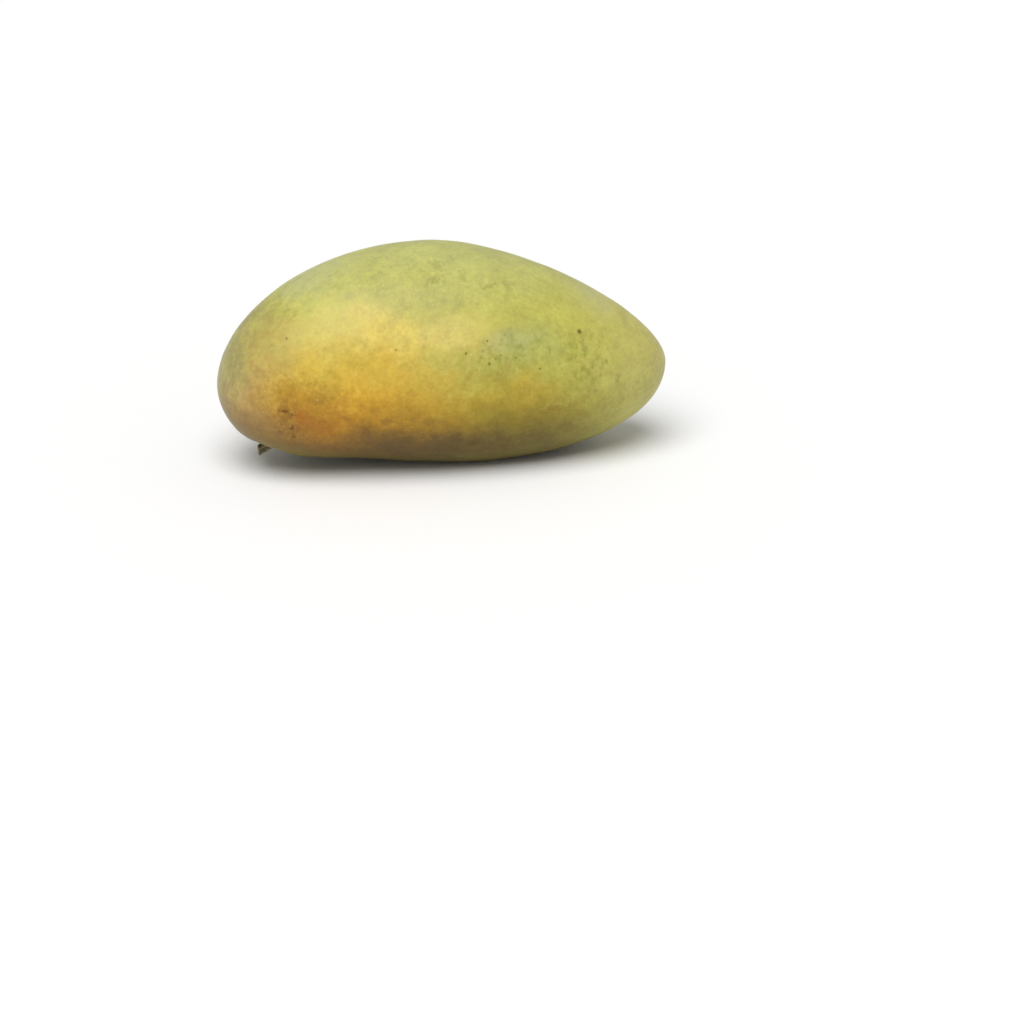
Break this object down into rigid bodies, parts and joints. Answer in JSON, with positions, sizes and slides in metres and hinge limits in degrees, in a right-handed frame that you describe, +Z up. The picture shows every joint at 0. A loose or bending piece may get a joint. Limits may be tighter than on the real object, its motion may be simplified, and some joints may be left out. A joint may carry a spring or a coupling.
{
  "type": "mango",
  "caption": "Whole elongated mango with a short stub of its stalk, lying on its belly on a small flat spot.",
  "frame": {"origin": "middle of the box round the whole object, on the surface that it lies on", "axes": "+X from the stalk to the tip, +Z up, -Y out of the cheek that faces the camera"},
  "size_m": [0.136, 0.06, 0.0653],
  "materials": {
    "skin": "waxy fruit skin with a soft low gloss, grey-green turning yellow, with fine pores and specks",
    "bark": "dull dry bark, greyer on the cut end"
  },
  "bodies": {
    "root": {"fruit": "skin", "stalk": "bark"}
  },
  "joints": []
}
